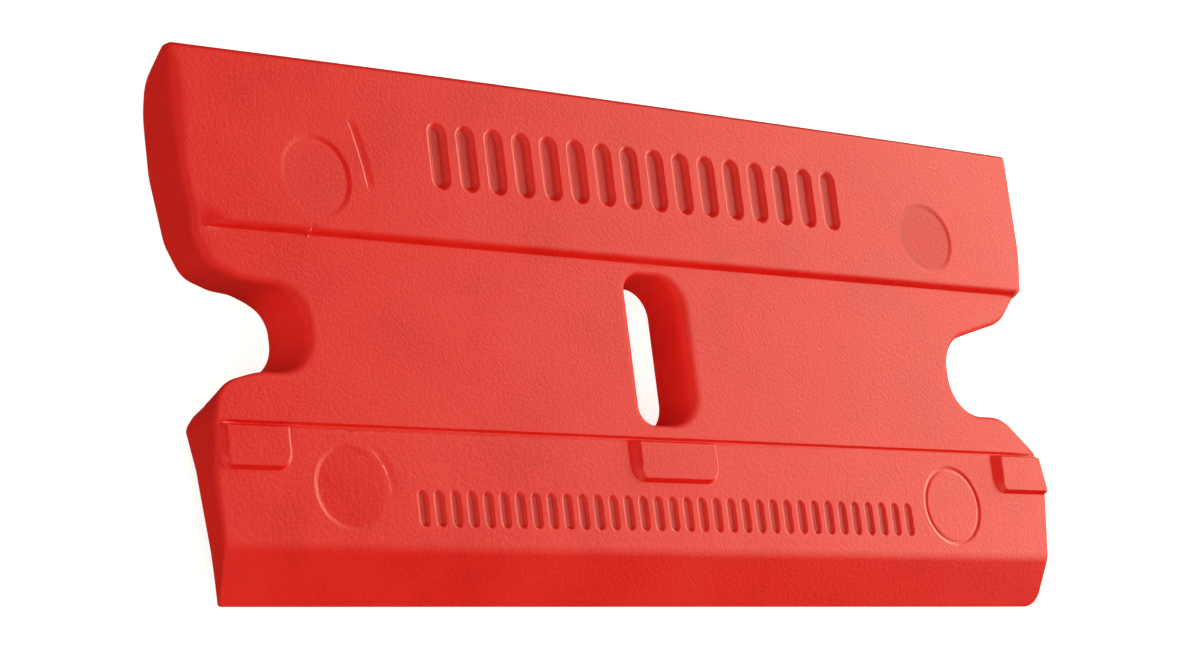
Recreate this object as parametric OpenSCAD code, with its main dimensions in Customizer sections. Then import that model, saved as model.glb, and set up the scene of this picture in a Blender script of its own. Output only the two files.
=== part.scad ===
// Razor blade scraper: a plastic blade in one moulding, in the shape of a single-edge razor blade.
// A thick spine runs along the top. Below it a thinner web has a slot in the middle and a notch at
// each end. The lower band tapers at the back and is bevelled at the front to the scraping edge.
// X runs along the blade, Y from the scraping edge up to the spine, and Z out of the front face.
// The blade lies on its flat back, and the origin is under the middle of its outline.

/* [Lengths] */
// Length of the spine, end to end
spine_length = 38.1; // [34:0.1:44]
// Length of the web and of the lower band at its top, end to end
band_length = 37.7; // [33:0.1:43]
// Length of the scraping edge, corner to corner
edge_length = 36.9; // [32:0.1:42]

/* [Heights] */
// Height of the bevel above the scraping edge
bevel_height = 1.7; // [0.8:0.05:3]
// Height of the lower band above the bevel
band_height = 3.95; // [3.7:0.05:7]
// Height of the web
web_height = 6.15; // [6:0.05:9]
// Height of the spine
spine_height = 5.9; // [4:0.05:9]
// Height of the steep part of the tapering back, below the web
ramp_height = 1.5; // [0.8:0.05:3]

/* [Thicknesses] */
// Thickness of the spine
spine_thickness = 1.9; // [1.7:0.05:3]
// Drop from the front of the spine to the web
web_step = 0.24; // [0.1:0.01:0.4]
// Run of the sloping wall under the spine
step_run = 0.2; // [0.05:0.01:0.3]
// Drop from the web to the lower band
band_step = 0.06; // [0.02:0.01:0.2]
// Rise of the back over its steep part
ramp_rise = 0.55; // [0.1:0.01:0.7]
// Rise of the back from the web to the bevel
back_rise = 0.74; // [0.2:0.01:0.9]
// Thickness of the scraping edge
tip_thickness = 0.1; // [0.05:0.01:0.3]

/* [Edges] */
// Radius along the front of the spine's top
front_round = 0.3; // [0.1:0.05:0.5]
// Radius along the back of the spine's top
back_round = 1.55; // [0.4:0.05:1.6]
// Radius of the two top corners, seen from the front
spine_corner = 0.2; // [0.1:0.05:1]
// Radius of the one rounded corner of the scraping edge, seen from the front
edge_corner = 1.3; // [0.3:0.1:2]
// Width of the fine groove between the web and the lower band
groove_width = 0.18; // [0.1:0.01:0.3]
// Depth of that groove below the lower band
groove_depth = 0.08; // [0.03:0.01:0.15]

/* [Slot] */
// Width of the slot
slot_width = 2.35; // [1.6:0.05:3]
// Length of the slot, end to end
slot_length = 5.3; // [3.6:0.1:5.4]
// Radius of the soft front lip of the slot and the notches
lip_radius = 0.3; // [0.1:0.05:0.4]

/* [Notches] */
// Depth of each notch from the end of the blade
notch_depth = 4.25; // [4.2:0.05:6]
// Radius of the round bottom of each notch, below its lip
notch_radius = 1.6; // [1.2:0.05:1.75]
// How much the notch walls lean in from the lip to the back, as mould draft
notch_draft = 0.15; // [0.05:0.05:0.4]
// Radius of the flares at the mouth of each notch
flare_radius = 2.5; // [1.6:0.05:2.6]

/* [Pads] */
// Length of the pad under the slot
middle_pad_length = 3.65; // [2:0.05:6]
// Length of the pad at each end
end_pad_length = 2.85; // [1.5:0.05:3.4]
// Height of the pads
pad_height = 1.37; // [0.8:0.01:2.5]
// How far the pads stand out of the lower band
pad_rise = 0.25; // [0.1:0.01:0.3]
// Radius of the pads' corners
pad_corner = 0.25; // [0.1:0.05:0.35]

/* [Ejector marks] */
// Diameter of the round marks
mark_diameter = 2.85; // [2:0.05:3]
// Depth of the marks
mark_depth = 0.06; // [0.02:0.01:0.1]
// Distance of a spine mark's centre from the end of the spine
spine_mark_inset = 5.08; // [3:0.02:7]
// Distance of a spine mark's centre above the web
spine_mark_rise = 1.92; // [1.8:0.02:2.4]
// Distance of a band mark's centre from the end of the lower band
band_mark_inset = 5.2; // [5:0.05:7]
// Distance of a band mark's centre below the web
band_mark_drop = 2.06; // [1.8:0.02:2.2]

/* [Hidden] */
$fn = 64;

// How far a cutter runs past the faces that it cuts
past = 1;

body_height = bevel_height + band_height + web_height + spine_height;
edge_y = -body_height / 2;
bevel_y = edge_y + bevel_height;
band_y = bevel_y + band_height;
web_y = band_y + web_height;
top_y = web_y + spine_height;
web_middle = (band_y + web_y) / 2;

web_z = spine_thickness - web_step;
band_z = web_z - band_step;
pad_z = band_z + pad_rise;
tip_z = back_rise + tip_thickness;
lip_z = web_z - lip_radius;

notch_x = band_length / 2 - notch_depth + notch_radius;
flare_x = band_length / 2 - flare_radius;
flare_offset = notch_radius + flare_radius;
mouth_length = flare_radius + past;
// Where the ends of the lower band start to lean in
taper_y = web_middle - flare_offset;

// What is cut from an outer corner at the origin, with the solid at its lower left
module corner_cut(radius) {
  translate([-radius, -radius])
    difference() {
      square(radius + past);
      circle(radius);
    }
}

// The side view of the blade, with Y across and Z upwards
module side_profile() {
  top_back_round = min(back_round, spine_thickness - front_round);
  difference() {
    polygon([
      [edge_y, back_rise],
      [bevel_y, back_rise],
      [band_y - ramp_height, ramp_rise],
      [band_y, 0],
      [top_y, 0],
      [top_y, spine_thickness],
      [web_y + step_run, spine_thickness],
      [web_y, web_z],
      [band_y, web_z],
      [band_y - groove_width / 2, band_z - groove_depth],
      [band_y - groove_width, band_z],
      [bevel_y, band_z],
      [edge_y, tip_z],
    ]);
    translate([top_y, spine_thickness]) corner_cut(front_round);
    translate([top_y, 0]) mirror([0, 1]) corner_cut(top_back_round);
  }
}

// The spine, seen from the front
module spine_outline() {
  difference() {
    translate([-spine_length / 2, web_y]) square([spine_length, spine_height]);
    for (side = [0, 1])
      mirror([side, 0]) translate([spine_length / 2, top_y]) corner_cut(spine_corner);
  }
}

// What is cut from the rounded end of the scraping edge, so that the arc meets the edge and the
// leaning end of the lower band without a step
module edge_corner_cut() {
  lean = atan2((band_length - edge_length) / 2, taper_y - edge_y);
  reach = edge_corner * tan(45 - lean / 2);
  difference() {
    polygon([
      [-reach, 0],
      [past, -past],
      [reach * sin(lean), reach * cos(lean)],
      [-reach, edge_corner],
    ]);
    translate([-reach, edge_corner]) circle(edge_corner);
  }
}

// The web and the lower band, seen from the front and without the notches
module band_outline() {
  difference() {
    polygon([
      [-band_length / 2, web_y],
      [-band_length / 2, taper_y],
      [-edge_length / 2, edge_y],
      [edge_length / 2, edge_y],
      [band_length / 2, taper_y],
      [band_length / 2, web_y],
    ]);
    translate([edge_length / 2, edge_y]) edge_corner_cut();
  }
}

module blank() {
  intersection() {
    rotate([90, 0, 90])
      linear_extrude(spine_length + 2 * past, center = true) side_profile();
    translate([0, 0, -past])
      linear_extrude(spine_thickness + 2 * past) {
        spine_outline();
        band_outline();
      }
  }
}

// Half of the section of a cut through the web. Its wall leans in towards the back by the draft
// and opens into a round lip at the front.
module lipped_half_section(half_width, draft) {
  outside = half_width + lip_radius + past;
  difference() {
    translate([0, -past]) square([half_width + lip_radius, web_z + 2 * past]);
    polygon([
      [half_width - draft, -2 * past],
      [half_width - draft, 0],
      [half_width, lip_z],
      [outside, lip_z],
      [outside, -2 * past],
    ]);
    translate([half_width + lip_radius, lip_z]) circle(lip_radius);
  }
}

// A round end of such a cut
module lipped_end(radius, draft) {
  rotate_extrude() lipped_half_section(radius, draft);
}

// A straight run of such a cut, along +X from the origin
module lipped_run(half_width, draft, length) {
  rotate([90, 0, 90])
    linear_extrude(length)
      for (side = [0, 1]) mirror([side, 0]) lipped_half_section(half_width, draft);
}

module slot_cut() {
  straight = slot_length - slot_width;
  translate([0, web_middle - straight / 2, 0]) {
    lipped_end(slot_width / 2, 0);
    rotate([0, 0, 90]) lipped_run(slot_width / 2, 0, straight);
    translate([0, straight, 0]) lipped_end(slot_width / 2, 0);
  }
}

// The solid round shoulder that one side of a notch's mouth flares over
module flare_shoulder() {
  rotate_extrude()
    difference() {
      polygon([
        [0, -2 * past],
        [flare_radius + notch_draft, -2 * past],
        [flare_radius + notch_draft, 0],
        [flare_radius, lip_z],
        [flare_radius, web_z],
        [0, web_z],
      ]);
      translate([flare_radius, web_z]) corner_cut(lip_radius);
    }
}

// The notch at the right-hand end, which stops at the spine
module notch_cut() {
  intersection() {
    union() {
      translate([notch_x, web_middle, 0]) {
        lipped_end(notch_radius, notch_draft);
        lipped_run(notch_radius, notch_draft, flare_x - notch_x + past / 2);
      }
      difference() {
        translate([flare_x, web_middle - flare_offset, -past])
          cube([mouth_length, 2 * flare_offset, web_z + 2 * past]);
        for (side = [-1, 1])
          translate([flare_x, web_middle + side * flare_offset, 0]) flare_shoulder();
      }
    }
    translate([0, edge_y, -2 * past])
      cube([spine_length, web_y - edge_y, web_z + 4 * past]);
  }
}

// The lower half of the notch's mouth, seen from the front
module lower_mouth_outline() {
  translate([flare_x, web_middle - flare_offset])
    difference() {
      square([mouth_length, flare_offset]);
      circle(flare_radius);
    }
}

module rounded_rectangle(length, height) {
  difference() {
    square([length, height], center = true);
    for (turn_x = [0, 1], turn_y = [0, 1])
      mirror([turn_x, 0]) mirror([0, turn_y])
        translate([length / 2, height / 2]) corner_cut(pad_corner);
  }
}

// The raised pads along the top of the lower band: one under the slot and one at each end
module pads() {
  pad_y = band_y - groove_width - pad_height / 2;
  end_length = end_pad_length + past;
  root_z = band_z - mark_depth;
  intersection() {
    translate([0, 0, root_z])
      linear_extrude(pad_z - root_z) {
        translate([0, pad_y]) rounded_rectangle(middle_pad_length, pad_height);
        for (side = [-1, 1])
          translate([side * (band_length / 2 + past - end_length / 2), pad_y])
            rounded_rectangle(end_length, pad_height);
      }
    linear_extrude(pad_z + past)
      difference() {
        band_outline();
        for (side = [0, 1]) mirror([side, 0]) lower_mouth_outline();
      }
  }
}

// The four shallow round marks that the mould's ejector pins leave
module ejector_marks() {
  for (side = [-1, 1]) {
    translate([side * (spine_length / 2 - spine_mark_inset), web_y + spine_mark_rise,
               spine_thickness - mark_depth])
      cylinder(h = past, d = mark_diameter);
    translate([side * (band_length / 2 - band_mark_inset), band_y - band_mark_drop,
               band_z - mark_depth])
      cylinder(h = past, d = mark_diameter);
  }
}

module scraper_blade() {
  color([0.87, 0.25, 0.19])
    difference() {
      union() {
        difference() {
          blank();
          slot_cut();
          for (side = [0, 1]) mirror([side, 0, 0]) notch_cut();
        }
        pads();
      }
      ejector_marks();
    }
}

scraper_blade();
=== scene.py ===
# %% [markdown]
# # A scraper blade in red plastic
# The real object is one injection moulding in the shape of a single-edge razor blade. It could be shown
# as the CAD solid with a red finish, but a moulding lives from its soft edges, its fine seams and its
# matt skin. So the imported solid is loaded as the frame, and one detailed skin is worked out around it.

import bpy
import numpy as np
from mathutils import Euler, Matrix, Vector
from mathutils.geometry import delaunay_2d_cdt


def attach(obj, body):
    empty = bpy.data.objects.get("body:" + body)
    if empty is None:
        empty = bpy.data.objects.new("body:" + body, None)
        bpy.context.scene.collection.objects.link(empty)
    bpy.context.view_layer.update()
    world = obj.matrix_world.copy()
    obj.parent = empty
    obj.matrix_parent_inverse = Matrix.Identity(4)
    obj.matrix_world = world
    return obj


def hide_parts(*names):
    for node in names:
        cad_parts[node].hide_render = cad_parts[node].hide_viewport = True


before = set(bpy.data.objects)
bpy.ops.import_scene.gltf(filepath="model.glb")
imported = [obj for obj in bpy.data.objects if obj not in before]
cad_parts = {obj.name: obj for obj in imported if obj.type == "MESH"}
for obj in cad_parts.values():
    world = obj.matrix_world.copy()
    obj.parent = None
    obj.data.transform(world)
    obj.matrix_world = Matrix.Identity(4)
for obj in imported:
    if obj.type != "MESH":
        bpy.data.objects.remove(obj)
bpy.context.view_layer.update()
MM = 0.001

# %% [markdown]
# ## Camera
# The picture was taken close up, from the left of the blade and a little below it. The place, turn and
# lens come from fitting a camera to the straight edges of the blade, so they are plain numbers here.
# A camera object could be aimed with a constraint, but numbers keep it fixed while the skin changes.

# %% Place the camera
CAMERA_PLACE = (-77.79, -24.935, 85.566)
CAMERA_TURN = (18.63, -39.955, -9.168)
camera_data = bpy.data.cameras.new("camera")
camera_data.sensor_fit = "HORIZONTAL"
camera_data.sensor_width = 36
camera_data.lens = 102.6
camera_data.clip_start = 0.005
camera_data.clip_end = 20
camera = bpy.data.objects.new("camera", camera_data)
camera.location = Vector(CAMERA_PLACE) * MM
camera.rotation_euler = Euler(np.radians(CAMERA_TURN))
bpy.context.scene.collection.objects.link(camera)
bpy.context.scene.camera = camera
print("camera distance in mm:", round(camera.location.length / MM, 1))

# %% [markdown]
# ## Sizes of the blade
# All lengths are in millimetres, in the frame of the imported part: X along the blade, Y from the scraping
# edge up to the spine, and Z out of the front face. They could be measured on the loaded solid, but
# named numbers are easier to read. They are the values of the CAD source, so the skin lies on the solid.

# %% Sizes
SPINE_END = 19.05
EDGE_Y, BEVEL_Y, BAND_Y, WEB_Y, TOP_Y = -8.85, -7.15, -3.2, 2.95, 8.85
SPINE_Z, WEB_Z, BAND_Z = 1.9, 1.66, 1.6
TIP_BACK_Z, TIP_FRONT_Z = 0.74, 0.84
print("spine height in mm:", round(TOP_Y - WEB_Y, 2))

# %% [markdown]
# ## Rounded paths
# Two drawings carry the whole blade: its side profile and its outline from the front. Both are corners
# joined by straight runs, with an arc in each corner. Blender's Bevel modifier could round the edges
# later, but an exact path also gives the exact direction of the surface, which makes clean shading.


# %% A path with rounded corners
def rounded_path(start, turns, end, arc_steps=40):
    """Open path from start to end, with an arc at each turn, which is a corner and its radius.

    A corner that turns by the angle a gives up r * tan(a / 2) of both its straight runs, and the arc of
    radius r between them turns evenly. Returns the points, the heading and the running length.
    """
    corners = np.array([start, *(corner for corner, radius in turns), end], float)
    radii = [radius for corner, radius in turns]
    run = np.diff(corners, axis=0)
    heading = np.unwrap(np.arctan2(run[:, 1], run[:, 0]))
    points, headings = [corners[:1]], [heading[:1]]
    for corner, radius, before, after in zip(corners[1:-1], radii, heading[:-1], heading[1:]):
        turn = np.linspace(before, after, arc_steps)
        reach = radius * np.tan(abs(after - before) / 2)
        start_of_arc = corner - reach * np.array([np.cos(before), np.sin(before)])
        bend = np.c_[np.sin(turn) - np.sin(before), np.cos(before) - np.cos(turn)]
        points.append(start_of_arc + radius * np.sign(after - before) * bend)
        headings.append(turn)
    points = np.concatenate([*points, corners[-1:]])
    headings = np.concatenate([*headings, heading[-1:]])
    length = np.r_[0, np.cumsum(np.hypot(*np.diff(points, axis=0).T))]
    return points, headings, length


trial = rounded_path((0, 0), [((2, 0), 1)], (2, 2))
print("a trial path with one quarter turn is", round(trial[2][-1], 3), "long")

# %% [markdown]
# ## Side profile
# Seen from its end, the blade starts at the scraping edge, climbs the bevel, crosses the lower band, a
# fine groove and the web, steps up to the spine, rounds the top and comes back down the rear. An
# extruded curve object could show it, but the skin also has to know its direction everywhere. So the
# line is drawn once, and the front and the back of the skin are both this line carried along the blade.

# %% Side profile
PROFILE_TURNS = [
    ((BEVEL_Y, BAND_Z), 0.9), ((BAND_Y - 0.16, BAND_Z), 0.05), ((BAND_Y, WEB_Z), 0.05),
    ((WEB_Y, WEB_Z), 0.05), ((WEB_Y + 0.11, SPINE_Z), 0.24), ((TOP_Y, SPINE_Z), 0.2),
    ((TOP_Y, 1.48), 0.5), ((7.95, 0.28), 1.2), ((6.9, 0), 3.0),
    ((BAND_Y, 0), 0.8), ((BAND_Y - 1.5, 0.55), 1.0), ((BEVEL_Y, TIP_BACK_Z), 2.0),
]
profile, profile_heading, profile_run = rounded_path(
    (EDGE_Y, TIP_FRONT_Z), PROFILE_TURNS, (EDGE_Y, TIP_BACK_Z))
TOP_FLAT_Z = 1.575
top_of_profile = int(np.argmax(profile[:, 0] - np.abs(profile[:, 1] - TOP_FLAT_Z)))
TOP_RUN = profile_run[top_of_profile]
print("profile length in mm:", round(profile_run[-1], 2), "top at", round(TOP_RUN, 2))


# %% Points and directions on the profile
def on_profile(run):
    """Height y, depth z and the two parts of the outward direction at a running length of the profile.

    The outward direction is the heading turned a quarter to the left.
    """
    heading = np.interp(run, profile_run, profile_heading)
    y = np.interp(run, profile_run, profile[:, 0])
    z = np.interp(run, profile_run, profile[:, 1])
    return y, z, -np.sin(heading), np.cos(heading)


CALM_LOW, CALM_HIGH = BAND_Y - 0.4, WEB_Y + 0.5
calm = (profile_run < TOP_RUN) & (profile[:, 0] > CALM_LOW) & (profile[:, 0] < CALM_HIGH)
calm_heading = np.where(calm, 0, profile_heading)


def calm_direction(run):
    """Outward direction of the profile without its groove and step, for the rounding of the rim."""
    heading = np.interp(run, profile_run, calm_heading)
    return np.c_[0 * heading, -np.sin(heading), np.cos(heading)]


def front_run(y):
    """Running length at which the front of the profile reaches the height y."""
    return np.interp(y, profile[: top_of_profile + 1, 0], profile_run[: top_of_profile + 1])


def back_run(y):
    """Running length at which the back of the profile reaches the height y."""
    return np.interp(-y, -profile[top_of_profile:, 0], profile_run[top_of_profile:])


print("thickness in the middle in mm:", on_profile(front_run(0))[1] - on_profile(back_run(0))[1])

# %% [markdown]
# ## Small forms on the front
# A fine groove, three low pads, four round marks, two rows of pressed strokes and a few scuffs change the
# level of the front by fractions of a millimetre. A bump texture could fake them, but then the edges
# would not catch the light as real ones do, and the exported mesh would be flat. So each is a distance
# to its own outline, turned into a level by a smooth ramp.


# %% Ramps
def ramp(share):
    """Smooth step from 0 to 1: three times the square less twice the cube, flat at both ends."""
    share = np.clip(share, 0, 1)
    return share * share * (3 - 2 * share)


def hump(distance, half_width):
    """Level line across a fine ridge or groove: 1 in its middle, 0 and flat at its half width."""
    return ramp(1 - np.abs(distance) / half_width)


print("ramp at a quarter and a half:", ramp(0.25), ramp(0.5))

# %% [markdown]
# ## Groove
# A hair-fine groove parts the web from the lower band and runs out before both ends. A Boolean modifier
# could cut it, but a cutter this thin leaves slivers. A level line across it keeps the mesh clean.

# %% Groove
GROOVE_Y, GROOVE_HALF_WIDTH, GROOVE_DEPTH = -3.28, 0.11, 0.07
GROOVE_LEFT, GROOVE_LEFT_FADE = -18.35, 0.4
GROOVE_RIGHT, GROOVE_RIGHT_FADE = 18.0, 1.4


def groove(x, y):
    """Depth of the groove between web and band, which fades out before both ends of the blade."""
    fade = ramp((x - GROOVE_LEFT) / GROOVE_LEFT_FADE) * ramp((GROOVE_RIGHT - x) / GROOVE_RIGHT_FADE)
    return GROOVE_DEPTH * fade * hump(y - GROOVE_Y, GROOVE_HALF_WIDTH)


print("groove depth in its middle in mm:", groove(0, GROOVE_Y))

# %% [markdown]
# ## Pads
# Three flat pads stand on the lower band, under the groove: one below the slot and one at each end. They
# could be small boxes joined to the blade, but moulded pads grow out of the face with leaning walls. So
# the distance to a box with round lower corners becomes a rise, gentle on the left and steep elsewhere.

# %% Pads
PAD_RISE, PAD_CORNER = 0.19, 0.62
PAD_LOW, PAD_TOP = -4.76, GROOVE_Y - 0.02
PAD_LEFT_WALL, PAD_RIGHT_WALL, PAD_LOW_WALL, PAD_TOP_WALL = 0.5, 0.2, 0.14, 0.1
LEAST_WAY, LEAST_WALL = 1e-6, 0.05
PADS = np.array([[-1.87, 2.2], [16.0, 19.8], [-18.72, -15.78]])


def pad_wall(across, up):
    """Width of a pad's wall in a direction: wide at the sides, narrow below, even between."""
    return np.hypot(across * np.where(across < 0, PAD_LEFT_WALL, PAD_RIGHT_WALL), up * PAD_LOW_WALL)


def pad_depth(x, y, left_x, right_x):
    """Distance inwards from the outline of a pad, and the width of its wall there.

    The outline is a box with two round lower corners, open at the top: the distance is the corner radius
    less the length of the way from the inner box, and the direction of that way gives the wall.
    """
    across = np.maximum(x - right_x + PAD_CORNER, 0) - np.maximum(left_x + PAD_CORNER - x, 0)
    up = np.minimum(y - PAD_LOW - PAD_CORNER, 0)
    way = np.hypot(across, up)
    wall = pad_wall(across, up) / np.maximum(way, LEAST_WAY)
    return PAD_CORNER - way, np.maximum(wall, LEAST_WALL)


def pads(x, y):
    """Rise of the pads: up their walls, level inside, and cut off above by the groove."""
    level = 0
    for left_x, right_x in PADS:
        depth, wall = pad_depth(x, y, left_x, right_x)
        level = level + ramp(depth / wall)
    return PAD_RISE * level * ramp((PAD_TOP - y) / PAD_TOP_WALL)


print("widths of the pads in mm:", (PADS[:, 1] - PADS[:, 0]).round(2))

# %% [markdown]
# ## Ejector marks
# Four round marks show where the pins of the mould pushed the blade out. Cylinders could be sunk into the
# face, but a mark is only a few hundredths of a millimetre deep, and no two are alike. A tilted level
# inside a circle lets each pin sit askew in its own way, and one also has a fine ring.

# %% Ejector marks
MARK_RADIUS, MARK_WALL = 1.425, 0.22
MARKS = np.array([[-13.93, 4.86], [13.97, 4.87], [-13.67, -5.22], [13.65, -5.27]])
MARK_DEPTH = np.array([0.02, 0.016, 0.014, 0.02])
MARK_TILT = np.array([[0.75, 0.55], [0.95, 0.2], [-0.95, 0.1], [0.6, -0.3]])
MARK_RING = np.array([0.0, 0.0, 0.0, 0.035])
RING_INSET, RING_HALF_WIDTH = 0.05, 0.13


def mark_distance(x, y, centre):
    """Distance from the rim of a round mark, below zero inside it."""
    return np.hypot(x - centre[0], y - centre[1]) - MARK_RADIUS


def marks(x, y):
    """Depth of the marks: shallow tilted discs inside a short wall, and the fine ring of one of them."""
    depth = 0
    for centre, deep, tilt, ring in zip(MARKS, MARK_DEPTH, MARK_TILT, MARK_RING):
        distance = mark_distance(x, y, centre)
        slope = 1 + (tilt[0] * (x - centre[0]) + tilt[1] * (y - centre[1])) / MARK_RADIUS
        disc = deep * slope * ramp(-distance / MARK_WALL)
        depth = depth + disc + ring * hump(distance + RING_INSET, RING_HALF_WIDTH)
    return depth


print("ejector marks:", len(MARKS), "of diameter", 2 * MARK_RADIUS)

# %% [markdown]
# ## Pressed strokes
# Two rows of upright strokes are pressed into the face: a coarse one on the spine and a fine one on the
# lower band. An Array modifier could repeat a cutter. Folding x onto the nearest stroke needs only one
# distance for a whole row, so a row is one short class.


# %% Pressed strokes
class StrokeRow:
    """A row of upright strokes with round ends, evenly spaced along the blade."""

    def __init__(self, middle_x, middle_y, count, pitch, half_height, half_width, wall, depth):
        self.first_x = middle_x - pitch * (count - 1) / 2
        self.middle_y, self.count, self.pitch = middle_y, count, pitch
        self.half_run = half_height - half_width
        self.half_width, self.wall, self.depth = half_width, wall, depth

    def distance(self, x, y):
        """Distance to the nearest stroke: x is folded onto that stroke, whose outline is a capsule."""
        place = np.clip(np.round((x - self.first_x) / self.pitch), 0, self.count - 1)
        across = x - self.first_x - place * self.pitch
        along = np.maximum(np.abs(y - self.middle_y) - self.half_run, 0)
        return np.hypot(across, along) - self.half_width

    def pressed(self, x, y):
        """Share of the full depth: 0 outside the strokes, 1 on their floors, a ramp on their walls."""
        return ramp(-self.distance(x, y) / self.wall)


GRIP_ROW = StrokeRow(middle_x=0.2, middle_y=5.98, count=16, pitch=1.2,
                     half_height=1.2, half_width=0.42, wall=0.28, depth=0.16)
FINE_ROW = StrokeRow(middle_x=0.2, middle_y=-5.83, count=34, pitch=0.67,
                     half_height=0.64, half_width=0.23, wall=0.16, depth=0.085)
STROKE_ROWS = (GRIP_ROW, FINE_ROW)
print("strokes:", [row.count for row in STROKE_ROWS])

# %% [markdown]
# ## Scuffs
# The blade carries small traces: a long scuff beside one mark, an arc round another and a tiny burr on
# the step. They could be sculpted by hand, but then nobody could repeat them. Here a scuff is a line with
# one steep and one slow side, and the burr is a small mound.

# %% Scuffs
SCUFF = np.array([[-12.44, 6.98], [-12.08, 5.75], [-11.86, 4.5]])
SCUFF_TOP, SCUFF_LOW = SCUFF[0, 1], SCUFF[2, 1]
SCUFF_DEPTH, SCUFF_STEEP, SCUFF_SLOW, SCUFF_TAPER = 0.022, 0.06, 0.35, 6
ARC_SCUFF_RADIUS, ARC_SCUFF_DEPTH, ARC_SCUFF_TURN, ARC_SCUFF_SPREAD = 1.6, 0.014, 0.45, 0.8
BURR, BURR_HALF_SIZE, BURR_RISE = np.array([-14.38, 2.99]), (0.12, 0.17), 0.05
scuff_bow = np.polyfit(SCUFF[:, 1], SCUFF[:, 0], 2)


def scuffed(distance):
    """Level line across a scuff: a drop at once on its near side and a slow return on the other."""
    return np.where(distance < 0, ramp(1 + distance / SCUFF_STEEP), ramp(1 - distance / SCUFF_SLOW))


def scuffs(x, y):
    """Depth of a long scuff beside one mark and of an arc round another, less a tiny burr at the step."""
    share = (y - SCUFF_LOW) / (SCUFF_TOP - SCUFF_LOW)
    long_scuff = SCUFF_DEPTH * scuffed(x - np.polyval(scuff_bow, y))
    long_scuff = long_scuff * ramp(SCUFF_TAPER * share) * ramp(SCUFF_TAPER - SCUFF_TAPER * share)
    aside, above = x - MARKS[2, 0], y - MARKS[2, 1]
    turn = np.arctan2(above, aside)
    arc = ARC_SCUFF_DEPTH * scuffed(np.hypot(aside, above) - ARC_SCUFF_RADIUS)
    arc = arc * hump(turn - ARC_SCUFF_TURN, ARC_SCUFF_SPREAD)
    from_burr = np.hypot((x - BURR[0]) / BURR_HALF_SIZE[0], (y - BURR[1]) / BURR_HALF_SIZE[1])
    return long_scuff + arc - BURR_RISE * ramp(1 - from_burr)


print("height of the long scuff in mm:", round(SCUFF_TOP - SCUFF_LOW, 2))

# %% [markdown]
# ## The level of the front
# On the real face the small forms run into each other, and the step below the spine softens into a slope
# at the left end. A Displace modifier could move finished points, but it can't tell the exact direction
# of the new surface. So the whole skin is one function, and its direction comes from its own slopes.

# %% The level of the front
STEP_FADE_X, STEP_FADE_LENGTH = -17.5, 1.1
STEP_SLOPE_LOW, STEP_SLOPE_HIGH = WEB_Y - 0.45, WEB_Y + 0.7


def relief(x, y):
    """Level of the front above the plain profile: pads less groove, marks, strokes and scuffs."""
    strokes = sum(row.depth * row.pressed(x, y) for row in STROKE_ROWS)
    return pads(x, y) - groove(x, y) - marks(x, y) - strokes - scuffs(x, y)


def eased_step(x, y, z):
    """Rise that turns the step below the spine into a soft slope towards the left end."""
    share = (y - STEP_SLOPE_LOW) / (STEP_SLOPE_HIGH - STEP_SLOPE_LOW)
    slope = WEB_Z + (SPINE_Z - WEB_Z) * ramp(share)
    on_slope = (share > 0) & (share < 1)
    return np.where(on_slope, slope - z, 0) * ramp((STEP_FADE_X - x) / STEP_FADE_LENGTH)


def skin(x, run):
    """Point of the skin: the profile at that running length, carried to x, moved out by the relief."""
    y, z, out_y, out_z = on_profile(run)
    on_front = run < TOP_RUN
    level = np.where(on_front, relief(x, y), 0)
    eased = np.where(on_front, eased_step(x, y, z), 0)
    return np.stack([x + 0 * y, y + out_y * level, z + out_z * level + eased], -1)


def skin_normal(x, run, reach=0.004):
    """Outward direction of the skin: the cross product of its slopes along and round the blade."""
    along = skin(x + reach, run) - skin(x - reach, run)
    around = skin(x, run + reach) - skin(x, run - reach)
    normal = np.cross(along, around)
    return normal / np.linalg.norm(normal, axis=-1, keepdims=True)


print("a point on the middle pad in mm:", skin(0.0, front_run(PAD_LOW + PAD_CORNER)).round(3))

# %% [markdown]
# ## Outline
# Seen from the front, the outline runs down the left end, in and out of its notch, along the scraping
# edge, round the one soft corner and up the right end. It could be drawn as a Blender curve, but a list
# of corners and radii says the same and goes through the path function made above.

# %% Outline seen from the front
TOP_CORNER = 0.12
LEFT_END = [
    ((-SPINE_END, TOP_Y), TOP_CORNER), ((-SPINE_END, 4.9), 4.0), ((-18.72, 2.75), 1.5),
    ((-18.2, 1.7), 1.0), ((-17.2, 1.34), 1.5), ((-14.75, 1.08), 1.25), ((-14.75, -1.56), 1.3),
    ((-16.7, -1.6), 2.0), ((-18.27, -2.05), 1.2), ((-18.6, -3.25), 0.6), ((-18.72, -4.8), 3.0),
    ((-18.54, EDGE_Y), 0.11),
]
RIGHT_END = [
    ((18.2, EDGE_Y), 0.65), ((18.84, -4.7), 1.0), ((18.56, -3.2), 0.3), ((17.0, -1.84), 1.5),
    ((14.44, -1.82), 1.45), ((14.47, 0.95), 1.4), ((17.75, 1.87), 1.6), ((18.85, 3.1), 0.3),
    ((SPINE_END, 4.8), 5.0), ((SPINE_END, TOP_Y), TOP_CORNER),
]
outline, outline_heading, outline_run = rounded_path(
    (-SPINE_END + TOP_CORNER, TOP_Y), LEFT_END + RIGHT_END, (SPINE_END - TOP_CORNER, TOP_Y))
print("outline length in mm:", round(outline_run[-1], 1))

# %% [markdown]
# ## Ribs
# The rim between front and back is made of cross-sections along the outline, here called ribs. Even steps
# would be simple, but they waste faces on straight runs and starve the arcs. So the pace of the ribs
# follows the turning, and it quickens where the groove, the pads and the step run out over the ends.

# %% Ribs along a path
FINE_ZONES = ((-4.0, 1.0), (3.1, 0.3))
TOP_CLEARANCE = 0.008


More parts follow.
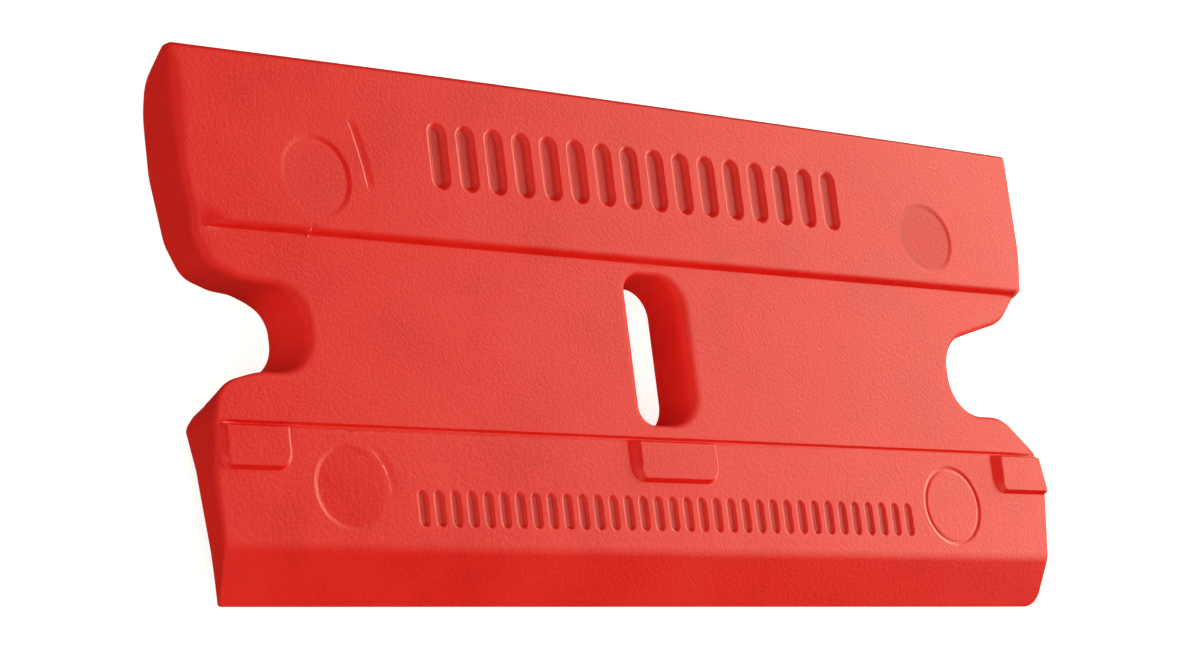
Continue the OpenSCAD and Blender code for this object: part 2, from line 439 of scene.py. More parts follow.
def ribs(points, heading, run, straight=0.2, turn=np.radians(4), fine_step=0.06, sample=0.02):
    """Points and headings of the ribs that a rim gets along a path.

    Their number grows with the length over the straight step, with the turning over the turn step and,
    in the zones given by a middle height and a half height, with the length over the fine step.
    """
    full = np.unique(np.r_[run, np.arange(0, run[-1], sample)])
    x, y, angle = (np.interp(full, run, values) for values in (*points.T, heading))
    step = np.diff(full)
    middle_y = (y[1:] + y[:-1]) / 2
    fine = np.any([np.abs(middle_y - zone) < half for zone, half in FINE_ZONES], axis=0)
    pace = step / straight + np.abs(np.diff(angle)) / turn + fine * step / fine_step
    count = np.r_[0, np.cumsum(pace)]
    at = np.interp(np.linspace(0, count[-1], int(count[-1]) + 1), count, full)
    return np.c_[np.interp(at, full, x), np.interp(at, full, y)], np.interp(at, full, angle)


plan, plan_heading = ribs(outline, outline_heading, outline_run)
kept = plan[:, 1] < TOP_Y - TOP_CLEARANCE
kept[[0, -1]] = True
plan, plan_heading = plan[kept], plan_heading[kept]
print("ribs along the outline:", len(plan))

# %% [markdown]
# ## Rim
# Across a rib, the moulding has a soft rounding in front, a wall that leans so that the blade leaves its
# mould, and a small rounding behind. A Bevel modifier would give the same radius everywhere, and a plain
# arc starts with a hard change of shine. So each rounding is a Bezier curve with a radius of its own.

# %% Rim between front and back
ARC = np.linspace(0, 1, 11)
WALL = np.linspace(0, 1, 6)[1:-1]
SOFT = 0.85
ON_FACE = (3 * SOFT * (1 - ARC) ** 2 * ARC + 3 * (1 - ARC) * ARC ** 2 + ARC ** 3)[:, None]
ON_WALL = (3 * (1 - SOFT) * (1 - ARC) * ARC ** 2 + ARC ** 3)[:, None]
FACE_SHARE = (SOFT * (1 - ARC) ** 2 + 2 * (1 - SOFT) * ARC * (1 - ARC))[:, None]
WALL_SHARE = (SOFT * ARC ** 2 + 2 * (1 - SOFT) * ARC * (1 - ARC))[:, None]
FRONT_ROOM, BACK_ROOM, LEAST_THICKNESS = 0.8, 0.18, 0.01


def rim(plan, heading, front_round, back_round, draft):
    """Ribs of the rim, from the edge of the front to the edge of the back.

    A ball of the rounding radius touches the face at a foot and the wall at an end, and the two planes
    there meet in a corner. A Bezier curve runs from foot to end with its inner controls a soft share of
    the way to that corner, so its bend grows and fades without a seam. The wall between is straight.
    Returns the x and running length of both edges, the points and their outward directions.
    """
    out = np.c_[np.sin(heading), -np.cos(heading)]
    thickness = on_profile(front_run(plan[:, 1]))[1] - on_profile(back_run(plan[:, 1]))[1]
    thickness = np.maximum(thickness, LEAST_THICKNESS)
    wall = np.c_[out * thickness[:, None], draft]
    wall /= np.linalg.norm(wall, axis=1, keepdims=True)
    edges, arcs = [], []
    for run_at, radius, room, moved in ((front_run, front_round, FRONT_ROOM, 0 * draft),
                                        (back_run, back_round, BACK_ROOM, draft)):
        radius = np.minimum(radius, room * thickness)[:, None]
        edge = plan + out * moved[:, None]
        inner = edge - radius * out
        face = calm_direction(run_at(inner[:, 1]))
        inner = edge + radius * (face[:, :2] - out)
        run = run_at(inner[:, 1])
        face = calm_direction(run)
        foot = skin(inner[:, 0], run)
        end = foot + radius * (wall - face)
        turn = (face * wall).sum(1, keepdims=True)
        corner = foot + radius * ((face + wall) / (1 + turn) - face)
        points = (foot[:, None] + ON_FACE * (corner - foot)[:, None] + ON_WALL * (end - corner)[:, None])
        normal = FACE_SHARE * face[:, None] + WALL_SHARE * wall[:, None]
        normal /= np.linalg.norm(normal, axis=-1, keepdims=True)
        edges.append(np.c_[inner[:, 0], run])
        arcs.append((points, normal))
    (front, front_out), (back, back_out) = arcs
    between = front[:, -1:] * (1 - WALL)[:, None] + back[:, -1:] * WALL[:, None]
    between_out = np.repeat(wall[:, None], len(WALL), axis=1)
    points = np.concatenate([front, between, back[:, ::-1]], axis=1)
    normals = np.concatenate([front_out, between_out, back_out[:, ::-1]], axis=1)
    return *edges, points, normals


print("points across a rib:", 2 * len(ARC) + len(WALL))

# %% [markdown]
# ## The rim of the blade
# The left end is much softer than the right one, and the walls of the notches lean, the left one most.
# Bevel weights could be painted edge by edge. A table of radii over the height says the same in two
# lines, and the lean follows from where a rib lies.

# %% The rim of the blade
ROUND_Y = [EDGE_Y, BEVEL_Y, -5, -3.2, -1.8, -1.2, 1.2, 2.6, 4.2, 5.2, 6.0, 6.8, 7.4, 8.0, 8.4, 8.72]
LEFT_ROUND = [0.05, 0.14, 0.2, 0.18, 0.18, 0.4, 0.44, 0.34, 0.3, 0.34, 0.42, 0.5, 0.54, 0.46, 0.28, 0.1]
RIGHT_ROUND = [0.05, 0.12, 0.14, 0.14, 0.2, 0.24, 0.24, 0.2] + 8 * [0.06]
BACK_ROUND = 0.09
NOTCH_MOUTH_X, NOTCH_HALF_HEIGHT, RIGHT_NOTCH_SHARE = 16.6, 2.5, 0.3
NOTCH_DRAFT, NOTCH_SIDE_DRAFT = 0.18, 0.16
SHOULDER_X, SHOULDER_FADE = -16.4, 0.8
SHOULDER_Y, SHOULDER_HALF_HEIGHT, SHOULDER_LEAN = -2.15, 1.1, 0.38

plan_x, plan_y = plan.T
front_round = np.where(plan_x < 0, np.interp(plan_y, ROUND_Y, LEFT_ROUND),
                       np.interp(plan_y, ROUND_Y, RIGHT_ROUND))
in_notch = ramp(NOTCH_MOUTH_X - np.abs(plan_x)) * (np.abs(plan_y) < NOTCH_HALF_HEIGHT)
in_notch = in_notch * np.where(plan_x < 0, 1, RIGHT_NOTCH_SHARE)
on_shoulder = hump(plan_y - SHOULDER_Y, SHOULDER_HALF_HEIGHT) * ramp((SHOULDER_X - plan_x) / SHOULDER_FADE)
draft = in_notch * (NOTCH_DRAFT + NOTCH_SIDE_DRAFT * np.abs(np.sin(plan_heading)))
draft = draft - SHOULDER_LEAN * on_shoulder
outer_front, outer_back, outer_points, outer_normals = rim(
    plan, plan_heading, front_round, np.full(len(plan), BACK_ROUND), draft)
print("lean of the walls in mm:", round(draft.min(), 2), "to", round(draft.max(), 2))

# %% [markdown]
# ## The rim of the slot
# The slot goes right through the blade and has a soft lip in front, widest on the right and narrow at
# both ends. A Boolean modifier could cut it, but its sharp edges would still have to be rounded. The rim
# function follows the slot's own path just as well as the outline.

# %% The rim of the slot
SLOT_MIDDLE, SLOT_HALF_SIZE = np.array([0.115, -0.095]), np.array([1.215, 2.65])
SLOT_CORNERS = [((1, -1), 1.15), ((-1, -1), 0.62), ((-1, 1), 0.65), ((1, 1), 1.1)]
SLOT_LIP, SLOT_LIP_LEAN, SLOT_LIP_END_CUT = 0.4, 0.14, 0.22
SLOT_BACK_ROUND, SLOT_DRAFT = 0.05, 0.06

slot_turns = [(SLOT_MIDDLE + SLOT_HALF_SIZE * sign, radius) for sign, radius in SLOT_CORNERS]
slot_start = SLOT_MIDDLE + SLOT_HALF_SIZE * (1, 0)
slot_plan, slot_heading = ribs(*rounded_path(slot_start, slot_turns, slot_start))
slot_plan, slot_heading = slot_plan[:-1], slot_heading[:-1]
slot_lip = SLOT_LIP - SLOT_LIP_LEAN * np.sin(slot_heading) - SLOT_LIP_END_CUT * np.cos(slot_heading) ** 2
slot_front, slot_back, slot_points, slot_normals = rim(
    slot_plan, slot_heading, slot_lip, np.full(len(slot_plan), SLOT_BACK_ROUND),
    np.full(len(slot_plan), SLOT_DRAFT))
print("ribs round the slot:", len(slot_plan))

# %% [markdown]
# ## Points on the skin
# The skin is a function of two numbers: x and the running length round the profile. It is sampled where
# it bends: in close rows along the groove, the step and the rounded top, in rings round every small
# form, and in a wide lattice elsewhere. A regular grid fine enough for the rings would need millions of
# faces, so Blender's Delaunay triangulation joins these points instead.

# %% Rows and columns
GROOVE_SPAN = (BAND_Y - 0.26, BAND_Y + 0.08, 24)
FRONT_SPANS = [
    (EDGE_Y + 0.08, BEVEL_Y - 0.4, 6), (BEVEL_Y - 0.26, BEVEL_Y + 0.26, 10),
    (BEVEL_Y + 0.5, BAND_Y - 0.5, 9), GROOVE_SPAN, (BAND_Y + 0.3, WEB_Y - 0.3, 15),
    (WEB_Y - 0.1, WEB_Y + 0.42, 24), (WEB_Y + 0.7, TOP_Y - 0.5, 13), (TOP_Y - 0.32, TOP_Y, 8),
]
BACK_SPANS = [
    (TOP_Y - 0.002, TOP_Y - 2.2, 26), (TOP_Y - 2.6, BAND_Y + 0.6, 19),
    (BAND_Y + 0.3, BEVEL_Y - 0.5, 30), (BEVEL_Y - 0.8, EDGE_Y + 0.08, 4),
]
COLUMN_COUNT, COLUMN_MARGIN = 101, 0.2


def rows_between(low, high, count, run_at=front_run):
    """Even rows, in running length, between two heights of the front or the back."""
    return np.linspace(run_at(low), run_at(high), count)


def lattice_of(columns, rows):
    """All pairs of a column and a row, as a list of points."""
    return np.stack(np.meshgrid(columns, rows), -1).reshape(-1, 2)


rows = np.concatenate([*(rows_between(*span) for span in FRONT_SPANS),
                       *(rows_between(*span, back_run) for span in BACK_SPANS)])
columns = np.linspace(-SPINE_END + COLUMN_MARGIN, SPINE_END - COLUMN_MARGIN, COLUMN_COUNT)
lattice = lattice_of(columns, rows)
print("lattice points:", len(lattice))

# %% [markdown]
# ## Rings round the small forms
# The walls of pads, marks, strokes and scuffs are narrow, and without points along them their edges would
# look torn. A Subdivision modifier could add points, but everywhere. Rings that follow each outline put
# them only where the level changes.


# %% Rings round a box
def round_box(half_x, half_y, arc_steps, side_step=1):
    """Feet and directions of points round a box: each ring is its feet plus a radius times directions.

    The feet lie on the box itself, and the directions turn evenly at its four corners. A box without
    size gives circles.
    """
    signs = np.array([(1, 1), (-1, 1), (-1, -1), (1, -1)])
    corners = signs * (half_x, half_y)
    feet, angles = [], []
    for quarter in range(4):
        here, following = corners[quarter], corners[(quarter + 1) % 4]
        arc = (quarter + np.arange(arc_steps) / arc_steps) * np.pi / 2
        steps = int(np.ceil(np.hypot(*(following - here)) / side_step))
        share = np.arange(steps)[:, None] / max(steps, 1)
        feet += [np.repeat(here[None], arc_steps, 0), here * (1 - share) + following * share]
        angles += [arc, np.full(steps, (quarter + 1) * np.pi / 2)]
    angles = np.concatenate(angles)
    return np.concatenate(feet), np.c_[np.cos(angles), np.sin(angles)]


def rings(box, radii, centres):
    """All points of rings of several radii round copies of one box."""
    feet, directions = box
    one = feet + np.asarray(radii)[:, None, None] * directions
    return (np.asarray(centres)[:, None, None] + one).reshape(-1, 2)


print("points of a trial circle:", len(rings(round_box(0, 0, arc_steps=3), [1], [(0, 0)])))

# %% Rings round the pads
WALL_SHARES = np.array([-0.1, 0, 0.12, 0.25, 0.4, 0.6, 0.75, 0.88, 1, 1.08])
PAD_RING_TOP = BAND_Y - 0.28
ring_points = []
groove_y = on_profile(rows_between(*GROOVE_SPAN))[0]
for left_x, right_x in PADS:
    middle = np.array([(left_x + right_x) / 2, BAND_Y])
    half_size = ((right_x - left_x) / 2 - PAD_CORNER, BAND_Y - PAD_LOW - PAD_CORNER)
    feet, directions = round_box(*half_size, arc_steps=10, side_step=0.06)
    reach = PAD_CORNER - WALL_SHARES[:, None] * pad_wall(*directions.T)
    ring = (middle + feet + reach[..., None] * directions).reshape(-1, 2)
    wall_x = np.r_[left_x + PAD_LEFT_WALL * WALL_SHARES, right_x - PAD_RIGHT_WALL * WALL_SHARES]
    ring_points += [ring[ring[:, 1] < PAD_RING_TOP], lattice_of(wall_x, groove_y)]
print("points round the pads:", sum(len(ring) for ring in ring_points))

# %% Rings round the marks, strokes and scuffs
MARK_OFFSETS = np.array([-0.36, -0.26, -0.22, -0.17, -0.13, -0.09, -0.05, -0.02, 0.01, 0.05, 0.09])
STROKE_SHARES = np.array([-0.12, 0, 0.2, 0.5, 0.8, 1, 1.1])
STEEP_SHARES, SLOW_SHARES = np.array([-1.2, -1, -0.7, -0.35, 0]), np.array([0.3, 0.7, 1])
SCUFF_OVERRUN, SCUFF_STEPS, ARC_SCUFF_TOP = 0.1, 40, GROOVE_Y - 0.2
BURR_RADII = [0.02, 0.06, 0.1, 0.14, 0.18]

ring_points.append(rings(round_box(0, 0, arc_steps=20), MARK_RADIUS + MARK_OFFSETS, MARKS))
for row, arc_steps in ((GRIP_ROW, 6), (FINE_ROW, 4)):
    centres = np.c_[row.first_x + row.pitch * np.arange(row.count), np.full(row.count, row.middle_y)]
    stroke_box = round_box(0, row.half_run, arc_steps, side_step=0.16)
    ring_points.append(rings(stroke_box, row.half_width - row.wall * STROKE_SHARES, centres))
across = np.r_[SCUFF_STEEP * STEEP_SHARES, SCUFF_SLOW * SLOW_SHARES]
scuff_y = np.linspace(SCUFF_LOW - SCUFF_OVERRUN, SCUFF_TOP + SCUFF_OVERRUN, SCUFF_STEPS)
scuff_x = np.polyval(scuff_bow, scuff_y)
ring_points.append(np.c_[(scuff_x[:, None] + across).ravel(), np.repeat(scuff_y, len(across))])
arc_points = rings(round_box(0, 0, arc_steps=16), ARC_SCUFF_RADIUS + across[1:], MARKS[2:3])
ring_points.append(arc_points[arc_points[:, 1] < ARC_SCUFF_TOP])
ring_points.append(rings(round_box(0, 0, arc_steps=3), BURR_RADII, [BURR]))
ring_points = np.concatenate(ring_points)
ring_points[:, 1] = front_run(ring_points[:, 1])
print("ring points:", len(ring_points))

# %% [markdown]
# ## Points to keep
# Rings and lattice reach past the ends, into the slot and into each other. Blender could trim a finished
# mesh with a Boolean, but that would leave slivers along the cut. Here the points are sorted out before
# they are joined: inside the outline, outside the slot, and clear of the rims and of the rings.


# %% Tests on points
def in_batches(task, points, size=4000):
    """Runs a task on slices of the points, so that its tables of distances stay small."""
    return np.concatenate([task(points[i:i + size]) for i in range(0, len(points), size)])


def clear_of(points, loop, margin):
    """True where a point is further from every point of the loop than the margin."""
    def task(some):
        gap = ((some[:, None] - loop) ** 2).sum(-1).min(1)
        return gap > margin ** 2
    return in_batches(task, points)


def inside(points, loop):
    """True inside a closed loop: a line from the point to the right crosses it an odd number of times."""
    start, end = loop, np.roll(loop, -1, 0)

    def task(some):
        x, y = some[:, :1], some[:, 1:]
        spans = (start[:, 1] > y) != (end[:, 1] > y)
        rise = np.where(end[:, 1] == start[:, 1], 1, end[:, 1] - start[:, 1])
        meets = x < start[:, 0] + (y - start[:, 1]) * (end[:, 0] - start[:, 0]) / rise
        return (spans & meets).sum(1) % 2 == 1
    return in_batches(task, points)


outer_loop = np.concatenate([outer_front, outer_back[-2:0:-1]])
loops = [outer_loop, slot_front, slot_back]
print("points of the three loops:", [len(loop) for loop in loops])

# %% Keep the points that lie on the skin
LATTICE_MARGIN, RING_MARGIN = 0.05, 0.03
SCUFF_NEAR, SCUFF_FAR, SCUFF_PAST_END, BURR_ROOM = -0.12, 0.4, 0.15, 0.22
MARK_RINGS_MIDDLE, MARK_RINGS_HALF = -0.14, 0.28
ARC_RINGS_MIDDLE, ARC_RINGS_HALF = 0.25, 0.33
STROKE_ROOM, PAD_ROOM, PAD_FORM_TOP = 0.06, 0.05, BAND_Y + 0.1


def in_slot(points):
    """True inside the slot's opening in the front or in the back."""
    return inside(points, slot_front) | inside(points, slot_back)


def on_skin(points, margin):
    """True inside the outline's loop, outside the slot's two loops and clear of all three."""
    return inside(points, outer_loop) & ~in_slot(points) & clear_of(points, np.concatenate(loops), margin)


def in_a_form(points):
    """True where the lattice would crowd the rings of a pad, mark, stroke or scuff."""
    x, y = points[:, 0], on_profile(points[:, 1])[0]
    off_scuff = x - np.polyval(scuff_bow, y)
    crowded = (off_scuff > SCUFF_NEAR) & (off_scuff < SCUFF_FAR)
    crowded &= (y > SCUFF_LOW - SCUFF_PAST_END) & (y < SCUFF_TOP + SCUFF_PAST_END)
    crowded |= np.hypot(x - BURR[0], y - BURR[1]) < BURR_ROOM
    for centre in MARKS:
        crowded |= np.abs(mark_distance(x, y, centre) - MARK_RINGS_MIDDLE) < MARK_RINGS_HALF
    crowded |= np.abs(mark_distance(x, y, MARKS[2]) - ARC_RINGS_MIDDLE) < ARC_RINGS_HALF
    for row in STROKE_ROWS:
        crowded |= row.distance(x, y) < STROKE_ROOM
    crowded &= np.abs(y - GROOVE_Y) > GROOVE_HALF_WIDTH
    for left_x, right_x in PADS:
        depth, wall = pad_depth(x, y, left_x, right_x)
        on_wall = (depth > -PAD_ROOM) & (depth < WALL_SHARES[-1] * wall + PAD_ROOM)
        crowded |= on_wall & (y < PAD_FORM_TOP)
    return crowded & (points[:, 1] < TOP_RUN)


lattice = lattice[on_skin(lattice, LATTICE_MARGIN) & ~in_a_form(lattice)]
ring_points = ring_points[on_skin(ring_points, RING_MARGIN)]
sheet = np.concatenate([*loops, lattice, ring_points])
print("points on the skin:", len(sheet))

# %% [markdown]
# ## One sheet of triangles
# Front and back are one sheet, folded over the top of the spine. In the flat plan of x and running length
# they lie side by side, so one triangulation joins both. Blender's Fill could close the loops, but only
# a Delaunay triangulation also takes the points between them and keeps its triangles even.

# %% Join the points
TAKE_INSIDE, TOLERANCE = 1, 1e-7
loop_starts = np.cumsum([0] + [len(loop) for loop in loops])
fences = [np.c_[np.arange(len(loop)), np.roll(np.arange(len(loop)), -1)] + start
          for loop, start in zip(loops, loop_starts)]
found = delaunay_2d_cdt(sheet.tolist(), np.concatenate(fences).tolist(), [], TAKE_INSIDE, TOLERANCE)
joined, triangles = np.array(found[0]), np.array(found[2])
triangles = triangles[~in_slot(joined[triangles].mean(1))]
print("sheet:", len(joined), "points,", len(sheet) - len(joined), "merged,", len(triangles), "triangles")

# %% [markdown]
# ## Rims and sheet in one mesh
# The real blade is one piece, so its skin has to be closed. Separate meshes could be welded by distance,
# but along the thin edge that would pull the wrong points together. Instead the ribs use the points of
# the sheet's loops as their first and last ones.


# %% Join the rims to the sheet
def rim_triangles(front_ids, back_ids, first_id, inner_count, closed):
    """Triangles of a rim whose two edges are points of the sheet: two for each cell between ribs.

    A closed rim comes back to its first rib. An open one ends in two points, and the flat triangles
    that its ends would give are left out.
    """
    inner_ids = first_id + np.arange(len(front_ids) * inner_count).reshape(len(front_ids), -1)
    ids = np.c_[front_ids, inner_ids, back_ids]
    if closed:
        ids = np.concatenate([ids, ids[:1]])
    else:
        ids[[0, -1]] = ids[[0, -1], :1]
    a, b, c, d = ids[:-1, :-1], ids[:-1, 1:], ids[1:, 1:], ids[1:, :-1]
    both = np.concatenate([np.stack(t, -1).reshape(-1, 3) for t in ((a, b, c), (a, c, d))])
    flat = (both[:, 0] == both[:, 1]) | (both[:, 1] == both[:, 2]) | (both[:, 0] == both[:, 2])
    return both[~flat]


def inner_part(values):
    """Values of all ribs without their first and last points, which the sheet already has."""
    return values[:, 1:-1].reshape(-1, 3)


rib_count, slot_count = len(plan), len(slot_plan)
front_ids = np.arange(rib_count)
back_ids = np.r_[0, 2 * rib_count - 3 - np.arange(rib_count - 2), rib_count - 1]
slot_ids = np.arange(slot_count)
inner_count = outer_points.shape[1] - 2
first_outer = len(joined)
first_slot = first_outer + rib_count * inner_count
faces = np.concatenate([
    triangles,
    rim_triangles(front_ids, back_ids, first_outer, inner_count, False),
    rim_triangles(loop_starts[1] + slot_ids, loop_starts[2] + slot_ids, first_slot, inner_count, True),
])
points = np.concatenate([skin(*joined.T), inner_part(outer_points), inner_part(slot_points)])
normals = np.concatenate([skin_normal(*joined.T), inner_part(outer_normals), inner_part(slot_normals)])
print("blade with rims:", len(points), "points,", len(faces), "triangles")

# %% Mark the rims and leave out unused points
RIM_FADE = 3
across_rib = np.r_[ramp(RIM_FADE * ARC), np.ones(len(WALL)), ramp(RIM_FADE * ARC)[::-1]]
on_rim = np.r_[np.zeros(len(joined)), np.tile(across_rib[1:-1], rib_count + slot_count)]
used = np.unique(faces)
renumber = np.zeros(len(points), int)
renumber[used] = np.arange(len(used))
points, normals, on_rim, faces = points[used], normals[used], on_rim[used], renumber[faces]
print("blade:", len(points), "points,", len(faces), "triangles")

# %% [markdown]
# ## Sag
# The top of the spine drops a little towards the right end, as a moulding does that shrinks unevenly. A
# Lattice modifier could bend it, but one formula over all points does the same and stays easy to read.

# %% Let the top of the spine sag
TOP_SAG, SAG_START_X, SAG_FOOT_Y, SAG_POWER = 0.36, -12, 3.4, 1.5
along = np.clip((points[:, 0] - SAG_START_X) / (SPINE_END - SAG_START_X), 0, 1) ** SAG_POWER
points[:, 1] -= TOP_SAG * along * np.clip((points[:, 1] - SAG_FOOT_Y) / (TOP_Y - SAG_FOOT_Y), 0, 1)
print("largest sag in mm:", TOP_SAG)

# %% [markdown]
# ## The mesh
# A mesh could be made from lists of points and faces, but with so many triangles whole arrays are much
# quicker. The directions worked out above go in as custom normals, so the shading follows the real
# surface and not the triangles.

# %% Make the mesh
mesh = bpy.data.meshes.new("blade_skin")
mesh.vertices.add(len(points))
mesh.vertices.foreach_set("co", (points * MM).ravel())
mesh.loops.add(3 * len(faces))
mesh.loops.foreach_set("vertex_index", faces.ravel().astype(np.int32))
mesh.polygons.add(len(faces))
mesh.polygons.foreach_set("loop_start", 3 * np.arange(len(faces), dtype=np.int32))
mesh.polygons.foreach_set("loop_total", np.full(len(faces), 3, np.int32))
mesh.update(calc_edges=True)
print("mesh was repaired:", mesh.validate())
mesh.shade_smooth()
mesh.normals_split_custom_set_from_vertices(normals.tolist())
blade = bpy.data.objects.new("blade_skin", mesh)
bpy.context.scene.collection.objects.link(blade)

# %% [markdown]
# ## Where the finish changes
# The red is painted darker on the floors of the pressed strokes and in three of the ejector marks, as
# painted shade in these hollows. Each ejector pin also left its own gloss, and the rims are duller than
# the faces. A mask could be painted by hand, but the distances that shaped these forms already say
# where they are. They are stored on the mesh as three point attributes that the finish reads.

# %% Attributes of the finish
# PIN_PAINTED_SHADE says how much darker the red is painted in each ejector mark, as painted shade;
# PIN_DULLNESS only changes its gloss.
PIN_DULLNESS = np.array([-0.3, 2.0, -1.4, 0])
PIN_PAINTED_SHADE = np.array([0.1, 0.5, 0.1, 0])
PIN_EDGE, FACING_FRONT = 0.2, 0.3
front_x, front_y = points[:, 0], points[:, 1]
on_front = normals[:, 2] > FACING_FRONT
in_marks = [ramp(-mark_distance(front_x, front_y, centre) / PIN_EDGE) for centre in MARKS]
pin_dullness = np.tensordot(PIN_DULLNESS, in_marks, 1)
pressed = sum(row.pressed(front_x, front_y) for row in STROKE_ROWS)
# Painted shade: the ejector marks join the strokes in this attribute, so that their red is painted darker.
pressed = pressed + np.tensordot(PIN_PAINTED_SHADE, in_marks, 1)
for name, values in (("pressed", pressed * on_front), ("pin_dullness", pin_dullness * on_front),
                     ("rim_dullness", on_rim)):
    attribute = mesh.attributes.new(name, "FLOAT", "POINT")
    attribute.data.foreach_set("value", values.astype(np.float32))
print("points in pressed strokes:", int((pressed > 0.5).sum()))

# %% [markdown]
# ## Red plastic
# The skin is a hard red plastic with a satin face: a very fine grain breaks up every reflection, and the
# colour drifts a little from place to place. An image texture could carry this, but it would need a UV
# map and a fixed size. Noise in the blade's own coordinates gives the same grain on every side.

# %% Nodes of the red plastic
plastic = bpy.data.materials.new("red_plastic")
plastic.use_nodes = True
nodes, links = plastic.node_tree.nodes, plastic.node_tree.links
shader = nodes["Principled BSDF"]
place = nodes.new("ShaderNodeTexCoord").outputs["Object"]


def noise(features_per_metre, detail):
    """Noise in the blade's own coordinates, from 0 to 1, with about that many features per metre."""
    node = nodes.new("ShaderNodeTexNoise")
    node.inputs["Scale"].default_value = features_per_metre
    node.inputs["Detail"].default_value = detail
    links.new(place, node.inputs["Vector"])
    return node.outputs[0]


def calculate(operation, first, second):
    """Math node on two sockets or plain numbers."""
    node = nodes.new("ShaderNodeMath")
    node.operation = operation
    for socket, value in zip(node.inputs, (first, second)):
        if isinstance(value, bpy.types.NodeSocket):
            links.new(value, socket)
        else:
            socket.default_value = value
    return node.outputs[0]


def stored(name):
    """Value of a point attribute of the mesh."""
    node = nodes.new("ShaderNodeAttribute")
    node.attribute_name = name
    return node.outputs["Fac"]


grain = noise(features_per_metre=8500, detail=3)
drift = noise(features_per_metre=420, detail=3)
wave = noise(features_per_metre=170, detail=1)
print("nodes of the noise:", len(nodes))

# %% [markdown]
# ## Colour, gloss and grain
# The plastic is one red that only moves between a deep and a light tone. It could be one flat colour,
# but then a large face looks like paint. A ramp of tones reads grain and drift, and the pressed attribute
# pulls it to the deep red as painted shade in the strokes and marks. The roughness takes its dull places
# from the attributes, and two bumps tilt the fine reflections.

# %% Colour of the red plastic
DEEP_RED, DEEP_AT = (0.68, 0.004, 0.0025, 1), 0.0
RED, RED_AT = (0.985, 0.0102, 0.0055, 1), 0.5
LIGHT_RED, LIGHT_AT = (1, 0.015, 0.008, 1), 0.8
GRAIN_IN_TONE, DRIFT_IN_TONE, PAINTED_SHADE_IN_TONE = 0.45, 0.55, 0.45
fine_tone = calculate("MULTIPLY", grain, GRAIN_IN_TONE)
tone = calculate("ADD", fine_tone, calculate("MULTIPLY", drift, DRIFT_IN_TONE))
# Painted shade: the pressed attribute darkens the red in the stroke floors and the ejector marks.
tone = calculate("SUBTRACT", tone, calculate("MULTIPLY", stored("pressed"), PAINTED_SHADE_IN_TONE))
colours = nodes.new("ShaderNodeValToRGB")
deep, light = colours.color_ramp.elements
deep.position, deep.color = DEEP_AT, DEEP_RED
light.position, light.color = LIGHT_AT, LIGHT_RED
colours.color_ramp.elements.new(RED_AT).color = RED
links.new(tone, colours.inputs["Fac"])
links.new(colours.outputs["Color"], shader.inputs["Base Color"])
print("tones of red:", len(colours.color_ramp.elements))

# %% Gloss of the red plastic
ROUGHNESS, DRIFT_SPREAD, NOISE_MIDDLE = 0.356, 0.16, 0.5
DULL_PLACES = (("pin_dullness", 0.05), ("pressed", 0.1), ("rim_dullness", 0.4))
roughness = calculate("MULTIPLY", calculate("SUBTRACT", drift, NOISE_MIDDLE), DRIFT_SPREAD)
for name, spread in DULL_PLACES:
    roughness = calculate("ADD", roughness, calculate("MULTIPLY", stored(name), spread))
links.new(calculate("ADD", roughness, ROUGHNESS), shader.inputs["Roughness"])
print("roughness of the face:", ROUGHNESS)

# %% Grain of the red plastic
GRAIN_DEPTH, WAVE_DEPTH = 10e-6, 3e-5
direction = None
for height, depth in ((wave, WAVE_DEPTH), (grain, GRAIN_DEPTH)):
    bump = nodes.new("ShaderNodeBump")
    bump.inputs["Distance"].default_value = depth
    links.new(height, bump.inputs["Height"])
    if direction:
        links.new(direction, bump.inputs["Normal"])
    direction = bump.outputs["Normal"]
links.new(direction, shader.inputs["Normal"])
mesh.materials.append(plastic)
print("nodes of the red plastic:", len(nodes))

# %% [markdown]
# ## Floor
# The blade lies on a plain white sheet, lit so brightly that only a faint shadow is left on it. A real
# sheet would also throw its light back into the walls of the blade. The walls in the picture are dark,
# so the sheet is shown to the camera and stops light, but sends none to the blade.

# %% White floor
FLOOR_HALF, FLOOR_Z = 3, -2e-5
PAPER, PAPER_ROUGHNESS, PAPER_GLOW = (0.9, 0.9, 0.9, 1), 0.9, 0.75
WHITE = (1, 1, 1, 1)
floor_mesh = bpy.data.meshes.new("floor")
floor_signs = ((-1, -1), (1, -1), (1, 1), (-1, 1))
floor_corners = [(sign_x * FLOOR_HALF, sign_y * FLOOR_HALF, FLOOR_Z) for sign_x, sign_y in floor_signs]
floor_mesh.from_pydata(floor_corners, [], [(0, 1, 2, 3)])
floor = bpy.data.objects.new("floor", floor_mesh)
bpy.context.scene.collection.objects.link(floor)
floor.visible_diffuse = False
floor.visible_glossy = False
paper = bpy.data.materials.new("white_floor")
paper.use_nodes = True
paper_inputs = paper.node_tree.nodes["Principled BSDF"].inputs
paper_inputs["Base Color"].default_value = PAPER
paper_inputs["Roughness"].default_value = PAPER_ROUGHNESS
paper_inputs["Emission Color"].default_value = WHITE
paper_inputs["Emission Strength"].default_value = PAPER_GLOW
floor_mesh.materials.append(paper)
print("floor side in m:", 2 * FLOOR_HALF)

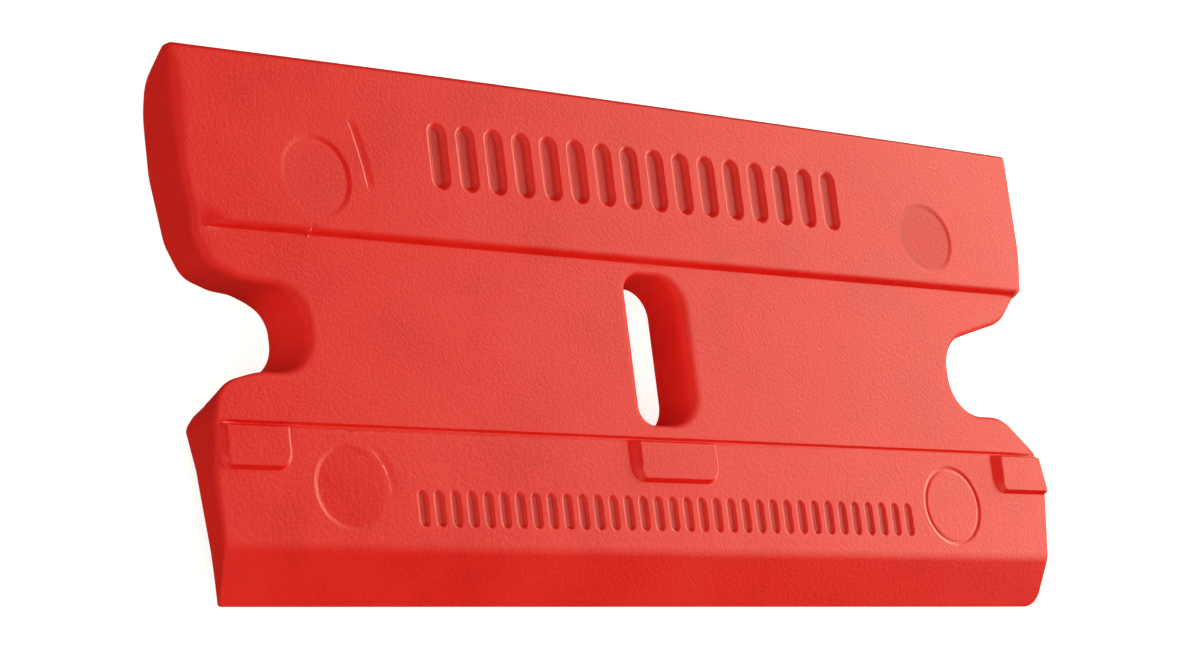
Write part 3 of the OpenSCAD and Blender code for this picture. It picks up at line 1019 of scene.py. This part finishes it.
# %% [markdown]
# ## Light
# The main light comes from the right: a large soft box low beyond that end, a small one close to it and a
# weak one above, so that a broad reflection lies over the right half of the face and fades to the left.
# A small box near the scraping edge and large, weak ones on the left, in front and behind fill the rest.
# A picture of a studio could light the blade too, but boxes can be moved and measured.

# %% Studio
WORLD_STRENGTH = 0.035
world = bpy.data.worlds.new("studio")
world.use_nodes = True
background = world.node_tree.nodes["Background"].inputs
background["Color"].default_value = WHITE
background["Strength"].default_value = WORLD_STRENGTH
bpy.context.scene.world = world
bpy.context.scene.view_settings.view_transform = "Standard"
print("strength of the world:", WORLD_STRENGTH)

# %% Soft boxes
WARM = (1, 0.95, 0.75)


def softbox(name, turn, height, distance, size, radiance):
    """Square soft light that faces the blade.

    Turn and height are the angles of its direction, in degrees, and a square that shines evenly with a
    radiance sends out that radiance times pi times its area.
    """
    data = bpy.data.lights.new(name, "AREA")
    data.size = size
    data.color = WARM
    data.energy = radiance * np.pi * size ** 2
    light = bpy.data.objects.new(name, data)
    turn, height = np.radians(turn), np.radians(height)
    way = Vector((np.cos(height) * np.cos(turn), np.cos(height) * np.sin(turn), np.sin(height)))
    light.location = way * distance
    light.rotation_euler = way.to_track_quat("Z", "Y").to_euler()
    bpy.context.scene.collection.objects.link(light)
    print(name, "in W:", round(data.energy, 2))


softbox("key_light", turn=10.6, height=14.6, distance=0.4, size=0.4, radiance=2.55)
softbox("near_key_light", turn=10.6, height=9, distance=0.16, size=0.12, radiance=3.0)
softbox("upper_key_light", turn=10.6, height=34, distance=0.16, size=0.12, radiance=1.0)
softbox("low_light", turn=272, height=33, distance=0.1, size=0.06, radiance=1.1)
softbox("left_light", turn=187, height=15, distance=0.4, size=0.6, radiance=0.76)
softbox("front_light", turn=235, height=45, distance=0.4, size=0.6, radiance=0.52)
softbox("rear_light", turn=140, height=45, distance=0.4, size=0.6, radiance=0.28)

# %% [markdown]
# ## Tie the skin to the part
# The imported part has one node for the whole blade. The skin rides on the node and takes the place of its
# solid in the picture, while the solid stays what it is for measuring and for motion.

# %% Tie the skin to the part
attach(blade, "root")
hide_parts("scraper_blade")
print("tied to the part:", blade.name)
